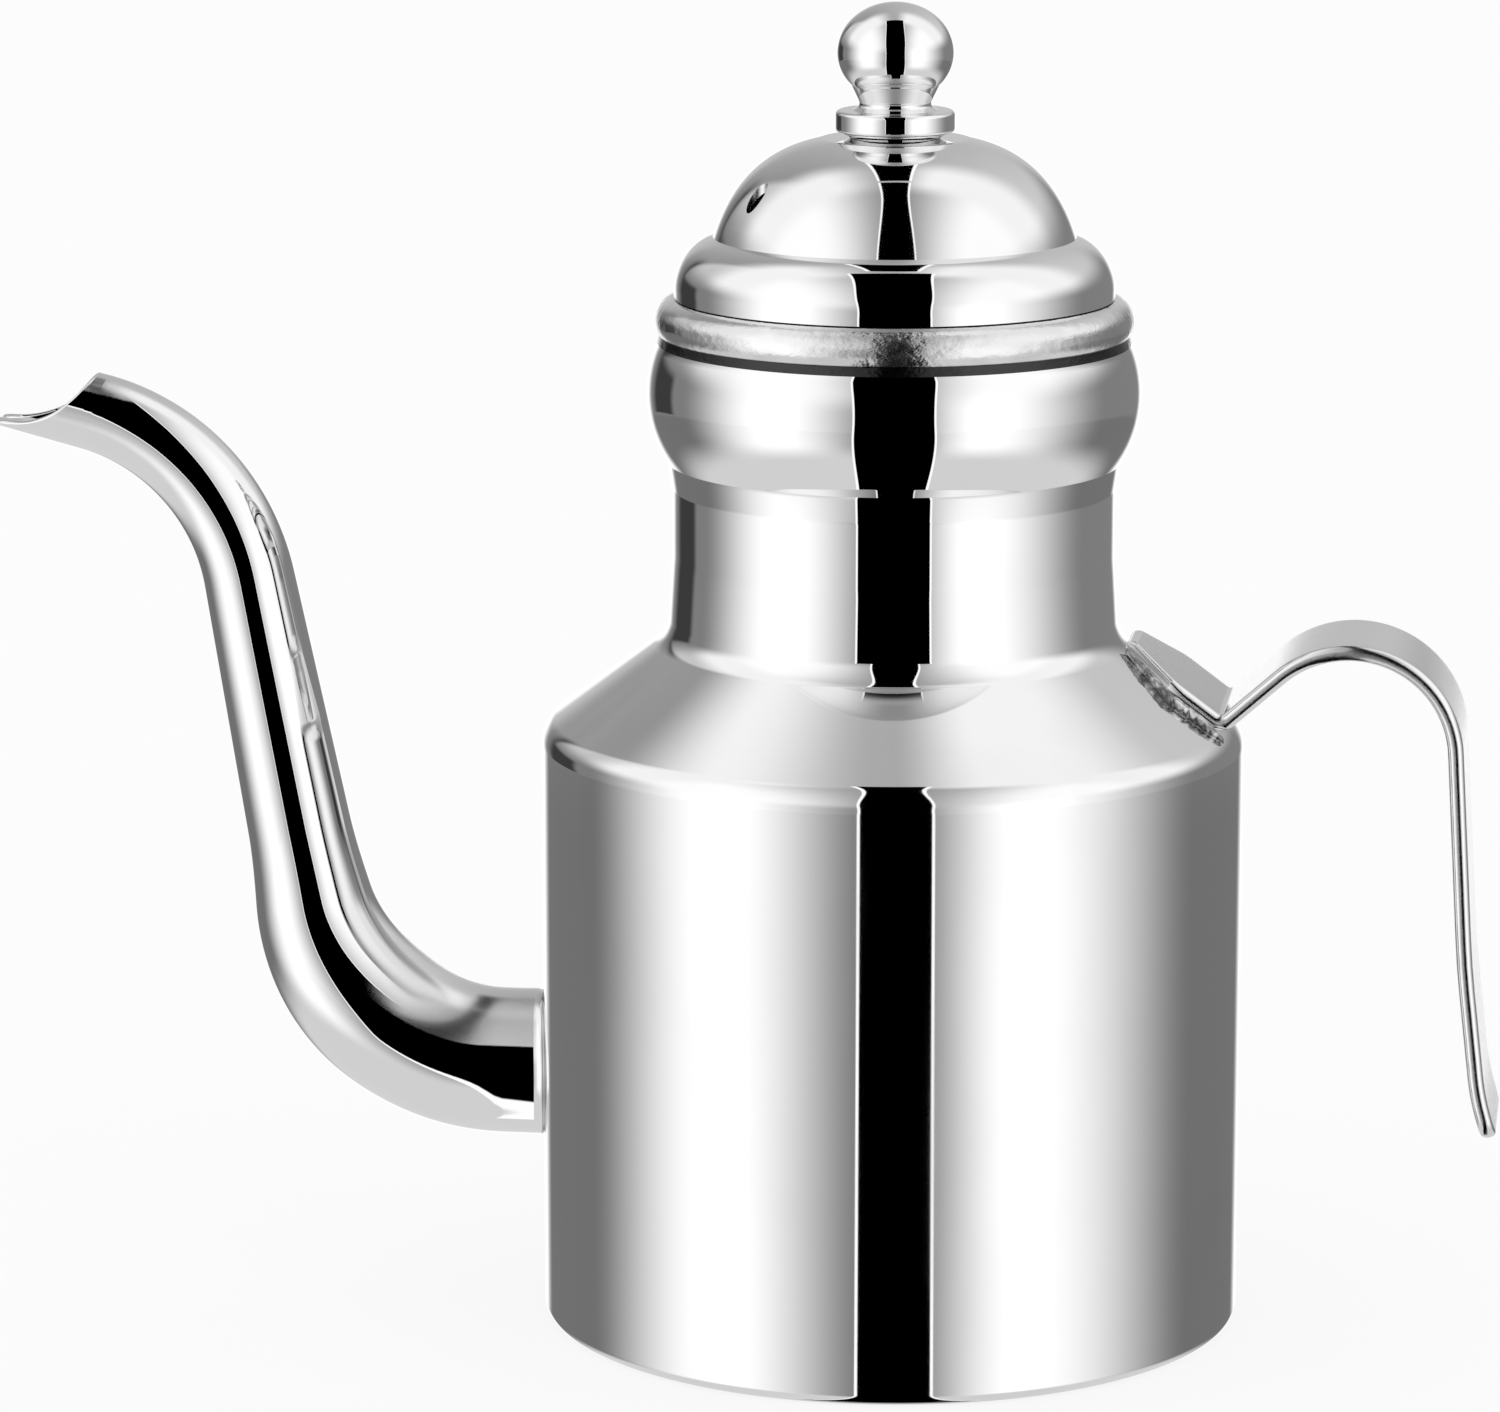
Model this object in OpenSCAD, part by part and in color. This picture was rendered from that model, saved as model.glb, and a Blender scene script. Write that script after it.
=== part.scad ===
// Gooseneck kettle: a polished sheet-steel pot with a swept spout, a bent strip handle and a lift-off lid.
// Millimetres. Z is up from the resting face, the spout points to -X and the handle to +X.

/* [Pot] */
// Outer radius of the straight wall
body_r = 45; // [40:1:52]
// Thickness of the sheet that the pot is pressed from
wall = 0.8; // [0.6:0.1:1]
// Height where the wall meets the sloping shoulder
shoulder_z = 77.3; // [72:1:90]
// Rounding of the shoulder's lower edge
shoulder_edge_r = 4; // [2:0.5:5]
// Slope of the shoulder above the horizontal
shoulder_slope = 36.5; // [30:0.5:42]

/* [Base] */
// Height of the pressed base's upturned rim
base_rim_h = 4; // [3:0.5:6]
// Rounding of the base's outer edge
base_edge_r = 1.5; // [1:0.25:2]
// Radius of the stiffening groove pressed into the base
groove_r = 32; // [26:1:36]
// Width of that groove
groove_w = 5; // [4:0.5:7]
// Depth of that groove
groove_d = 1.2; // [0.6:0.1:1.6]

/* [Neck and collar] */
// Radius of the neck at its waist
neck_r = 28.2; // [26:0.5:30]
// How much wider the neck's foot is than its waist
neck_flare = 0.6; // [0.2:0.2:1.2]
// Rounding between the shoulder and the neck
neck_foot_r = 4.5; // [2:0.5:6]
// Length of the neck from the shoulder to the collar
neck_h = 22.4; // [18:1:28]
// Widest radius of the bulged collar
collar_r = 31.4; // [30.6:0.2:33]
// Radius of the collar's bulge, seen in section
collar_bulge_r = 16; // [13:1:20]
// Height of the collar from its crease to the rolled rim
collar_h = 15.2; // [13:0.5:17]

/* [Rolled rim] */
// Radius of the roll, seen in section
roll_r = 2.9; // [2.4:0.1:3.2]
// Distance of the roll's centre from the pot's axis
roll_centre_r = 27.55; // [27.2:0.05:28]

/* [Spout] */
// Height of the spout's root
spout_root_z = 31; // [24:1:36]
// Outer radius of the tube at its root
spout_root_r = 9.5; // [8:0.25:10]
// Outer radius of the tube where the riser starts
spout_mid_r = 6.8; // [6:0.2:7.4]
// Outer radius of the tube at its tip
spout_tip_r = 4.8; // [4.4:0.1:5.2]
// Thickness of the tube
spout_wall = 0.8; // [0.6:0.1:1]
// Distance from the wall to the corner of the lower bend
low_corner_out = 27.1; // [25:0.5:32]
// Radius of the lower bend
low_bend_r = 25.5; // [20:0.5:27]
// Lean of the riser away from the pot, in degrees
riser_lean = 10.65; // [6:0.5:14]
// Height of the corner of the upper bend
high_corner_z = 111.7; // [104:1:120]
// Radius of the upper bend
high_bend_r = 27.2; // [20:0.5:30]
// Slope of the spout's last stretch above the horizontal
tip_slope = 13; // [8:1:20]
// Distance from the wall to the end of the tip
tip_out = 71.4; // [68:0.5:76]
// Radius of the scoop that shapes the beak
scoop_r = 13.3; // [11:0.5:16]
// Height of the scoop's lowest line above the underside of the tip
scoop_lift = 0.9; // [0.8:0.1:1.6]
// Size of the weld fillet around the spout's root
root_weld = 0.7; // [0.4:0.1:1]

/* [Handle] */
// Width of the strip
strip_w = 19; // [15:1:22]
// Thickness of the strip
strip_t = 2; // [1.6:0.1:2.4]
// Width of the foot where it meets the neck
foot_top_w = 8; // [6:1:15]
// Length, measured out from the neck, over which the foot widens to the full strip
foot_flare = 6; // [3:0.5:11]
// Slope of the strip as it rises off the shoulder
rise_slope = 41.7; // [36:1:48]
// Distance from the wall to the highest corner of the strip's path
crest_out = 25.64; // [22:0.5:29]
// Radius of the crest bend
crest_r = 13.4; // [11:0.5:14]
// Height of the grip's knee, where it starts to curve away
knee_z = 50; // [44:1:56]
// How far the knee lies outside the crest's corner
knee_out = 3.3; // [2:0.5:5]
// Height of the toe, where the strip curls outward
toe_z = 33; // [30:1:38]
// How far the toe lies outside the knee
toe_out = 2; // [1:0.5:3]
// Length of the curled end below the toe
curl_h = 5.8; // [4:0.5:8]
// How far the curled end reaches outside the toe
curl_out = 1.7; // [0.5:0.2:3]
// Rounding of the strip's end corners
strip_corner_r = 3; // [1:0.5:5]
// Width of the weld bead along each side of the foot
bead_w = 1.5; // [1:0.1:2]
// Height of that bead against the strip
bead_h = 1.6; // [1:0.1:2]

/* [Lid] */
// Radius of the lid's band at its lower edge
band_r = 28; // [27.8:0.05:28.2]
// Height of the band's upright part
band_h = 1; // [0.6:0.2:2]
// Rounding of the band, seen in section
band_round_r = 6.8; // [6:0.2:7.4]
// Radius of the dome at its foot
dome_r = 24; // [23:0.25:24.5]
// Height of the dome's top above the band's rounding centre
dome_h = 19.6; // [16:0.5:22]
// Depth of the inner sleeve below the band
sleeve_h = 10; // [7:1:14]
// Radial gap between the sleeve and the rolled rim
sleeve_gap = 0.35; // [0.3:0.05:0.6]
// Gap under the band where it rests on the rolled rim
seat_gap = 0.1; // [0.05:0.05:0.2]
// Radius of the steam hole in the dome
vent_r = 1.35; // [1:0.05:2]
// Direction of the steam hole around the dome, in degrees
vent_turn = 217; // [180:1:270]
// Distance of the steam hole from the lid's axis
vent_out = 19.9; // [16:0.1:20]

/* [Knob] */
// Radius of the knob's ball
ball_r = 7.4; // [6.5:0.1:9]
// Half the height of the slightly flattened ball
ball_half_h = 6.4; // [6:0.1:8]
// Radius of the knob's neck at its narrowest
knob_neck_r = 4.4; // [4:0.1:5.2]
// How much wider the neck is where it runs into the ball
knob_neck_flare = 1.2; // [0.4:0.1:1.6]
// Height of the knob's neck between flange and ball
knob_neck_h = 2.6; // [2:0.1:4]
// Radius of the knob's flange
flange_r = 7.6; // [7:0.1:8.6]
// Height of the knob's flange
flange_h = 2.7; // [1.6:0.1:3.4]
// Radius of the spacer ring's upper edge
spacer_r = 6.9; // [6:0.1:7]
// Height of the spacer ring between dome and knob
spacer_h = 0.8; // [0.6:0.1:2.5]
// Radius of the screw's shank
screw_r = 2; // [1.6:0.1:2.4]
// Length of the screw inside the knob
screw_grip = 8; // [5:0.5:10]
// Radius of the screw's head
screw_head_r = 3.9; // [3.4:0.1:4.3]
// Height of the screw's head
screw_head_h = 2.4; // [2:0.1:3]
// Radius of the washer under the head
washer_r = 4.6; // [4.4:0.1:5.4]
// Thickness of the washer
washer_t = 0.8; // [0.5:0.1:1.2]

/* [Hidden] */
$fn = 96;
STEEL = "gainsboro";
WELD = "darkgray";
CUT = 1;                     // overshoot of cutting solids
ARC_STEP = 6;                // largest turn of one step along a rounded profile, in degrees
TUBE_SIDES = 32;             // sides of the swept spout
TUBE_STEP = 3.2;             // spacing of the rings along the spout
SCREW_SLACK = 0.05;          // radial slack of the screw in the knob
HOLE_SLACK = 0.25;           // radial slack of the screw in sheet, spacer and washer
BEAD_STEPS = 6;              // sections along each half of a weld bead
BEAD_SIDES = 5;              // faces round its quarter-round section
WELD_GAP = 0.02;             // keeps the bead's solid clear of the metal that it joins

// Shoulder and neck heights, from the bottom up
wall_top_z = shoulder_z - shoulder_edge_r - 2;
neck_foot_out = neck_r + neck_flare;
neck_foot_z = shoulder_z + (body_r - neck_foot_out) * tan(shoulder_slope);
collar_z = neck_foot_z + neck_h;
roll_z = collar_z + collar_h + roll_r;
collar_mid_z = collar_z + collar_h * 0.58;
roll_top_z = roll_z + roll_r;

// Lid heights
band_z = roll_top_z + seat_gap;
round_z = band_z + band_h;
crown_z = round_z + dome_h - 0.5;
spacer_z = crown_z;
flange_z = spacer_z + spacer_h;
ball_z = flange_z + flange_h + knob_neck_h + ball_half_h * 0.72;
sleeve_r = roll_centre_r - roll_r - sleeve_gap;

// ---- Profile helpers ----

function unit(v) = v / norm(v);
function left(v) = [-v[1], v[0]];
function turn(a, b) = atan2(a[0] * b[1] - a[1] * b[0], a * b);

// Points of the arc that rounds corner b between a and c, using up to a share of the shorter side
function corner(a, b, c, r, share) =
    let (u = unit(b - a), v = unit(c - b), t = turn(u, v))
    r <= 0 || abs(t) < 0.5 ? [b] :
    let (room = share * min(norm(b - a), norm(c - b)),
         reach = min(r * tan(abs(t) / 2), room),
         rr = reach / tan(abs(t) / 2),
         start = b - u * reach,
         centre = start + left(u) * rr * sign(t),
         steps = max(2, ceil(abs(t) / ARC_STEP)))
    [for (i = [0:steps]) let (q = t * i / steps)
        centre + [cos(q) * (start - centre)[0] - sin(q) * (start - centre)[1],
                  sin(q) * (start - centre)[0] + cos(q) * (start - centre)[1]]];

// A path through [x, z, rounding] corners; a fourth number lets a large bend use more of its shorter side
function spot(v) = [v[0], v[1]];
function rounded(p) = [
    spot(p[0]),
    for (i = [1:len(p) - 2])
        each corner(spot(p[i - 1]), spot(p[i]), spot(p[i + 1]), p[i][2], len(p[i]) > 3 ? p[i][3] : 0.48),
    spot(p[len(p) - 1])];

// Direction of travel at point i of a path
function heading(p, i) =
    i == 0 ? unit(p[1] - p[0]) :
    i == len(p) - 1 ? unit(p[i] - p[i - 1]) :
    unit(unit(p[i] - p[i - 1]) + unit(p[i + 1] - p[i]));

// The path moved sideways by d, to its left
function beside(p, d) = [for (i = [0:len(p) - 1]) p[i] + left(heading(p, i)) * d];

// Closed outline of a sheet of thickness t whose face follows the path and whose metal lies to its left
function sheet(p, t) = concat(p, [for (i = [len(p) - 1:-1:0]) beside(p, t)[i]]);

function arc(centre, r, from, to) =
    let (steps = max(2, ceil(abs(to - from) / ARC_STEP)))
    [for (i = [0:steps]) let (q = from + (to - from) * i / steps) centre + r * [cos(q), sin(q)]];

// Length of a path up to point i
function run(p, i) = i == 0 ? 0 : norm(p[i] - p[i - 1]) + run(p, i - 1);

// ---- Pot ----

base_path = rounded([
    [0, 0, 0],
    [groove_r - groove_w / 2, 0, wall * 1.2],
    [groove_r - groove_w / 4, groove_d, wall * 1.2],
    [groove_r + groove_w / 4, groove_d, wall * 1.2],
    [groove_r + groove_w / 2, 0, wall * 1.2],
    [body_r, 0, base_edge_r],
    [body_r, base_rim_h, 0]]);

collar_low = collar_z - collar_mid_z;
collar_high = collar_z + collar_h - collar_mid_z;
collar_centre = [collar_r - collar_bulge_r, collar_mid_z];
collar_foot_r = collar_centre[0] + sqrt(collar_bulge_r * collar_bulge_r - collar_low * collar_low);

neck_path = concat(
    rounded([
        [body_r, wall_top_z, 0],
        [body_r, shoulder_z, shoulder_edge_r],
        [neck_foot_out, neck_foot_z, neck_foot_r],
        [neck_r, neck_foot_z + neck_h * 0.45, neck_h],
        [neck_r, neck_foot_z + neck_h * 0.85, 2],
        [collar_foot_r - 0.1, collar_z - 0.4, 0]]),
    arc(collar_centre, collar_bulge_r, asin(collar_low / collar_bulge_r), asin(collar_high / collar_bulge_r)),
    arc([roll_centre_r, roll_z], roll_r, -38, 180));

module lathe(outline) {
    rotate_extrude($fn = 180) polygon(outline);
}

module pot_wall() {
    color(STEEL) difference() {
        translate([0, 0, base_rim_h]) cylinder(r = body_r, h = wall_top_z - base_rim_h, $fn = 180);
        cylinder(r = body_r - wall, h = wall_top_z + CUT, $fn = 180);
        translate([-body_r / 2, 0, spout_root_z]) rotate([0, -90, 0]) cylinder(r = spout_root_r, h = body_r);
    }
}

module pot_base() {
    color(STEEL) lathe(sheet(base_path, wall));
}

module shoulder_and_neck() {
    color(STEEL) lathe(sheet(neck_path, wall));
}

// ---- Spout ----

low_corner = [-body_r - low_corner_out, spout_root_z];
high_corner = [low_corner[0] - (high_corner_z - spout_root_z) * tan(riser_lean), high_corner_z];
tip_x = -body_r - tip_out;
tip_end = [tip_x, high_corner_z + (high_corner[0] - tip_x) * tan(tip_slope)];
spout_corners = rounded([
    [-body_r + 2 * spout_root_r, spout_root_z, 0],
    [low_corner[0], low_corner[1], low_bend_r],
    [high_corner[0], high_corner[1], high_bend_r, 0.85],
    [tip_end[0], tip_end[1], 0]]);

// The path again, with its straight stretches divided as finely as its bends
spout_path = [
    for (i = [0:len(spout_corners) - 2])
        let (a = spout_corners[i], b = spout_corners[i + 1], k = max(1, round(norm(b - a) / TUBE_STEP)))
        for (j = [0:k - 1]) a + (b - a) * j / k,
    spout_corners[len(spout_corners) - 1]];
spout_len = run(spout_path, len(spout_path) - 1);

// The tube keeps its root size to the middle of the lower bend, then narrows quickly, then slowly
taper_from = spout_len * 0.28;
taper_to = spout_len * 0.48;
function ease(u) = let (k = min(1, max(0, u))) k * k * (3 - 2 * k);
function slow_taper(s) = spout_mid_r + (spout_tip_r - spout_mid_r) * (s - taper_to) / (spout_len - taper_to);
function tube_r(s) = let (k = ease((s - taper_from) / (taper_to - taper_from)))
    spout_root_r * (1 - k) + slow_taper(s) * k;

module tube(path, radii) {
    n = TUBE_SIDES;
    rings = len(path);
    points = [for (i = [0:rings - 1]) let (side = left(heading(path, i)))
        for (k = [0:n - 1]) let (q = 360 * k / n, across = radii[i] * cos(q))
            [path[i][0] + side[0] * across, radii[i] * sin(q), path[i][1] + side[1] * across]];
    walls = [for (i = [0:rings - 2]) for (k = [0:n - 1])
        [i * n + k, i * n + (k + 1) % n, (i + 1) * n + (k + 1) % n, (i + 1) * n + k]];
    polyhedron(points, concat([[for (k = [n - 1:-1:0]) k]], walls, [[for (k = [0:n - 1]) (rings - 1) * n + k]]));
}

function spout_radii(less) = [for (i = [0:len(spout_path) - 1]) tube_r(run(spout_path, i)) - less];

// The bore runs on a little past the tip, so that the tube ends open
bore_path = concat(spout_path, [tip_end + CUT * 2 * heading(spout_path, len(spout_path) - 1)]);
function bore_radii() = concat(spout_radii(spout_wall), [spout_tip_r - spout_wall]);

module spout() {
    scoop_z = tip_end[1] - spout_tip_r / cos(tip_slope) + scoop_lift + scoop_r;
    color(STEEL) difference() {
        tube(spout_path, spout_radii(0));
        tube(bore_path, bore_radii());
        cylinder(r = body_r - wall, h = high_corner_z);
        translate([tip_x + 1.4, 0, scoop_z])
            rotate([90, 0, 0]) cylinder(r = scoop_r, h = 4 * spout_tip_r, center = true, $fn = 128);
    }
}

module spout_weld() {
    color(STEEL) difference() {
        translate([root_weld + spout_root_r / 3 - body_r, 0, spout_root_z]) rotate([0, -90, 0])
            cylinder(r1 = spout_root_r * 4 / 3 + 2 * root_weld, r2 = spout_root_r, h = 2 * root_weld + spout_root_r / 3);
        cylinder(r = body_r + WELD_GAP, h = shoulder_z, $fn = 180);
        tube(spout_path, spout_radii(0));
    }
}

// ---- Handle ----

along = [cos(shoulder_slope), -sin(shoulder_slope)];   // down the shoulder, away from the neck
off = [sin(shoulder_slope), cos(shoulder_slope)];      // out of the shoulder
foot_line = [body_r, shoulder_z] + off * strip_t / 2;
bend_back = 3.4;                                       // the foot's bend lies this far above the lower edge
bend = foot_line - along * bend_back;
crest = [body_r + crest_out, bend[1] + (body_r + crest_out - bend[0]) * tan(rise_slope)];
knee = [crest[0] + knee_out, knee_z];
toe = [knee[0] + toe_out, toe_z];
curl = [toe[0] + curl_out, toe_z - curl_h];

// Where the foot starts, just clear of the neck
foot_top_x = neck_foot_out + 1.6;
foot_top = bend - along * (bend[0] - foot_top_x) / along[0];

strip_path = rounded([
    [foot_top[0], foot_top[1], 0],
    [bend[0], bend[1], strip_t * 0.8],
    [crest[0], crest[1], crest_r, 0.85],
    [knee[0], knee[1], 120],
    [toe[0], toe[1], 30],
    [curl[0], curl[1], 0]]);

// Half the foot's width at distance x from the pot's axis
foot_wide_x = foot_top_x + foot_flare;
function foot_half(x) = (foot_top_w + (strip_w - foot_top_w) * min(1, (x - foot_top_x) / foot_flare)) / 2;

module strip_shape() {
    rotate([90, 0, 0]) translate([0, 0, -strip_w / 2]) linear_extrude(strip_w)
        polygon(sheet(beside(strip_path, -strip_t / 2), strip_t));
}

// Plan of the strip: the foot narrows towards the neck
module strip_plan() {
    linear_extrude(2 * collar_z) polygon([
        [foot_top_x - strip_t, -foot_top_w / 2],
        [foot_top_x, -foot_top_w / 2],
        [foot_wide_x, -strip_w / 2],
        [2 * crest[0], -strip_w / 2],
        [2 * crest[0], strip_w / 2],
        [foot_wide_x, strip_w / 2],
        [foot_top_x, foot_top_w / 2],
        [foot_top_x - strip_t, foot_top_w / 2]]);
}

// Face-on outline of the grip, with the corners of its free end rounded
module grip_outline() {
    low = curl[1] - strip_t;
    rotate([90, 0, 90]) linear_extrude(2 * body_r + crest_out) polygon(concat(
        [[strip_w / 2, 2 * collar_z], [-strip_w / 2, 2 * collar_z]],
        arc([-strip_w / 2 + strip_corner_r, low + strip_corner_r], strip_corner_r, 180, 270),
        arc([strip_w / 2 - strip_corner_r, low + strip_corner_r], strip_corner_r, 270, 360)));
}

module handle() {
    color(STEEL) intersection() {
        strip_shape();
        strip_plan();
        grip_outline();
    }
}

// The shoulder's surface above the point (x, y)
function slope_z(x, y) = shoulder_z + (body_r - norm([x, y])) * tan(shoulder_slope);

// Section of the weld bead at distance x from the axis: a quarter round in the corner beside the strip
function bead_section(x) =
    let (edge = foot_half(x) + WELD_GAP)
    [[x, edge, slope_z(x, edge) + WELD_GAP],
     for (k = [0:BEAD_SIDES]) let (q = 90 * k / BEAD_SIDES, y = edge + bead_w * sin(q))
        [x, y, slope_z(x, y) + WELD_GAP + bead_h * cos(q)]];

module bead() {
    start = foot_top_x + strip_t / 2;
    finish = bend[0];
    n = BEAD_SIDES + 2;
    sections = concat(
        [for (i = [0:BEAD_STEPS - 1]) bead_section(start + (foot_wide_x - start) * i / BEAD_STEPS)],
        [for (i = [0:BEAD_STEPS]) bead_section(foot_wide_x + (finish - foot_wide_x) * i / BEAD_STEPS)]);
    walls = [for (i = [0:2 * BEAD_STEPS - 1]) for (k = [0:n - 1])
        [i * n + k, (i + 1) * n + k, (i + 1) * n + (k + 1) % n, i * n + (k + 1) % n]];
    polyhedron([for (section = sections) each section],
        concat([[for (k = [0:n - 1]) k]], walls, [[for (k = [n - 1:-1:0]) 2 * BEAD_STEPS * n + k]]));
}

module handle_welds() {
    color(WELD) {
        bead();
        mirror([0, 1, 0]) bead();
    }
}

// ---- Lid ----

// The dome is a rounded shape that is fuller than an ellipse at its shoulder
function dome_point(q) = [dome_r * pow(cos(q), 0.645), round_z + dome_h * pow(sin(q), 1.036)];
dome_foot_q = 20.5;
band_arc_to = acos((dome_point(dome_foot_q)[0] + 0.4 - (band_r - band_round_r)) / band_round_r);
crown_flat_q = asin(pow((crown_z - round_z) / dome_h, 1 / 1.036));

lid_path = concat(
    [[band_r, band_z]],
    arc([band_r - band_round_r, round_z], band_round_r, 0, band_arc_to),
    [for (q = [dome_foot_q:4:crown_flat_q - 2]) dome_point(q)],
    [dome_point(crown_flat_q)],
    [[0, crown_z]]);

module lid_dome() {
    color(STEEL) difference() {
        lathe(sheet(lid_path, wall));
        translate([0, 0, crown_z - 3 * wall]) cylinder(r = screw_r + HOLE_SLACK, h = 6 * wall);
        rotate([0, 0, vent_turn]) translate([vent_out, 0, crown_z - dome_h / 2])
            cylinder(r = vent_r, h = dome_h);
    }
}

// The sleeve is stepped: its upper part is spot-welded inside the band, its lower part guides the lid
module lid_sleeve() {
    seat_r = band_r - wall;
    low_z = band_z - sleeve_h;
    color(STEEL) lathe(sheet(rounded([
        [sleeve_r, low_z, 0],
        [sleeve_r, band_z + 0.2, 1],
        [seat_r - 0.05, band_z + 0.6, 1],
        [seat_r - 0.05, round_z + band_h, 0]]), wall));
}

// ---- Knob ----

module knob() {
    ball_foot = ball_z - ball_half_h * 0.72;
    neck_z = flange_z + flange_h;
    neck_turn = acos(min(0.98, (knob_neck_r + knob_neck_flare) / ball_r));
    color(STEEL) difference() {
        lathe(concat(
            rounded([
                [0, flange_z, 0],
                [flange_r, flange_z, 0.5],
                [flange_r, neck_z, 0.6],
                [knob_neck_r + 1, neck_z, 0.3],
                [knob_neck_r, neck_z + knob_neck_h * 0.25, 0.8],
                [knob_neck_r + knob_neck_flare, ball_z - ball_half_h * sin(neck_turn), 0]]),
            [for (q = [-neck_turn + ARC_STEP:ARC_STEP:84]) [ball_r * cos(q), ball_z + ball_half_h * sin(q)]],
            [[0, ball_z + ball_half_h]]));
        translate([0, 0, flange_z - CUT])
            cylinder(r = screw_r + SCREW_SLACK, h = screw_grip + 1 + CUT);
    }
}

module knob_spacer() {
    color(STEEL) difference() {
        translate([0, 0, spacer_z]) cylinder(r1 = spacer_r - 1.2, r2 = spacer_r, h = spacer_h);
        translate([0, 0, spacer_z - CUT]) cylinder(r = screw_r + HOLE_SLACK, h = spacer_h + 2 * CUT);
    }
}

washer_z = crown_z - wall - washer_t;

module knob_screw() {
    slot_w = 1;
    slot_d = 1.1;
    color(STEEL) difference() {
        union() {
            translate([0, 0, washer_z - screw_head_h]) cylinder(r = screw_head_r, h = screw_head_h);
            translate([0, 0, washer_z - screw_head_h])
                cylinder(r = screw_r, h = flange_z + screw_grip - washer_z + screw_head_h);
        }
        translate([-screw_head_r - CUT, -slot_w / 2, washer_z - screw_head_h - CUT])
            cube([2 * (screw_head_r + CUT), slot_w, slot_d + CUT]);
    }
}

module knob_washer() {
    color(STEEL) difference() {
        translate([0, 0, washer_z]) cylinder(r = washer_r, h = washer_t);
        translate([0, 0, washer_z - CUT]) cylinder(r = screw_r + HOLE_SLACK, h = washer_t + 2 * CUT);
    }
}

pot_wall();
pot_base();
shoulder_and_neck();
spout();
spout_weld();
handle();
handle_welds();
lid_dome();
lid_sleeve();
knob();
knob_spacer();
knob_screw();
knob_washer();
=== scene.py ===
import math

import bpy
import numpy as np
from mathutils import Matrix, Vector, noise


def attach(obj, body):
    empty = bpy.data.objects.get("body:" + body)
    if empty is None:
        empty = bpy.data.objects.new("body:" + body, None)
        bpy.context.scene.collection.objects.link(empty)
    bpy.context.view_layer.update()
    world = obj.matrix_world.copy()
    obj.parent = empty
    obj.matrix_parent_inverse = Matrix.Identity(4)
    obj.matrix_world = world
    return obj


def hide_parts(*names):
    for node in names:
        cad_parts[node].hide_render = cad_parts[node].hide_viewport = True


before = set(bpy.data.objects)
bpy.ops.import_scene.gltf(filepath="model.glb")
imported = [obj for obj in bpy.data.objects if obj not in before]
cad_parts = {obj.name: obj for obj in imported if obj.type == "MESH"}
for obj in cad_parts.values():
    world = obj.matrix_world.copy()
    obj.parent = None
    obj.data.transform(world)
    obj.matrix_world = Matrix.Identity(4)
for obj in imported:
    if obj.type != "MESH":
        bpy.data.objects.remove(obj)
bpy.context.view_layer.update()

# All lengths below are millimetres, and Z is up from the resting face.
MM = 0.001

# ---- The kettle's sizes ----

BODY_R = 45.0
WALL = 0.8
SHOULDER_Z = 77.3
SHOULDER_EDGE_R = 4.0
SHOULDER_SLOPE = math.radians(36.5)
BASE_RIM_H = 4.0
BASE_EDGE_R = 1.5
GROOVE_R = 32.0
GROOVE_W = 5.0
GROOVE_D = 1.2
NECK_R = 28.2
NECK_FOOT_OUT = 28.8
NECK_FOOT_R = 4.5
NECK_H = 22.4
COLLAR_R = 31.4
COLLAR_BULGE_R = 16.0
COLLAR_H = 15.2
COLLAR_WIDEST = 0.58  # share of the collar's height where it is widest
ROLL_R = 2.9
ROLL_CENTRE_R = 27.55
WALL_TOP_Z = SHOULDER_Z - SHOULDER_EDGE_R - 2
GROOVE_BEND_R = WALL * 1.2
NECK_FOOT_Z = SHOULDER_Z + (BODY_R - NECK_FOOT_OUT) * math.tan(SHOULDER_SLOPE)
NECK_WAIST_Z = NECK_FOOT_Z + NECK_H * 0.45
NECK_WIDENS_Z = NECK_FOOT_Z + NECK_H * 0.85
CONE_SHINE_TOP_Z = NECK_FOOT_Z + 1.5  # the shoulder's finish gives way to the collar's here
COLLAR_Z = NECK_FOOT_Z + NECK_H
COLLAR_MID_Z = COLLAR_Z + COLLAR_H * COLLAR_WIDEST
ROLL_Z = COLLAR_Z + COLLAR_H + ROLL_R
ROLL_CREASE_TURN = math.radians(-38)
ROLL_CREASE_Z = ROLL_Z + ROLL_R * math.sin(ROLL_CREASE_TURN)

SPOUT_ROOT_Z = 31.0
SPOUT_ROOT_R = 9.5
SPOUT_MID_R = 6.8
SPOUT_TIP_R = 4.8
SPOUT_WALL = 0.8
LOW_CORNER_OUT = 27.1
LOW_BEND_R = 25.5
RISER_LEAN = math.radians(10.65)
HIGH_CORNER_Z = 111.7
HIGH_BEND_R = 27.2
TIP_SLOPE = math.radians(13)
TIP_OUT = 71.4
SCOOP_R = 13.3
SCOOP_LIFT = 0.9
SCOOP_BACK = 1.4  # the scoop's axis lies this far behind the tip
LIP_SOFTNESS = 0.6  # how gently the scoop's cut runs out into the tip
LIP_BACK = 0.35  # room for the rounded lip
ROOT_WELD = 1.4
UPPER_BEND_SHARE = 0.85  # share of its sides that an upper bend of the spout or the strip may use

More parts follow.
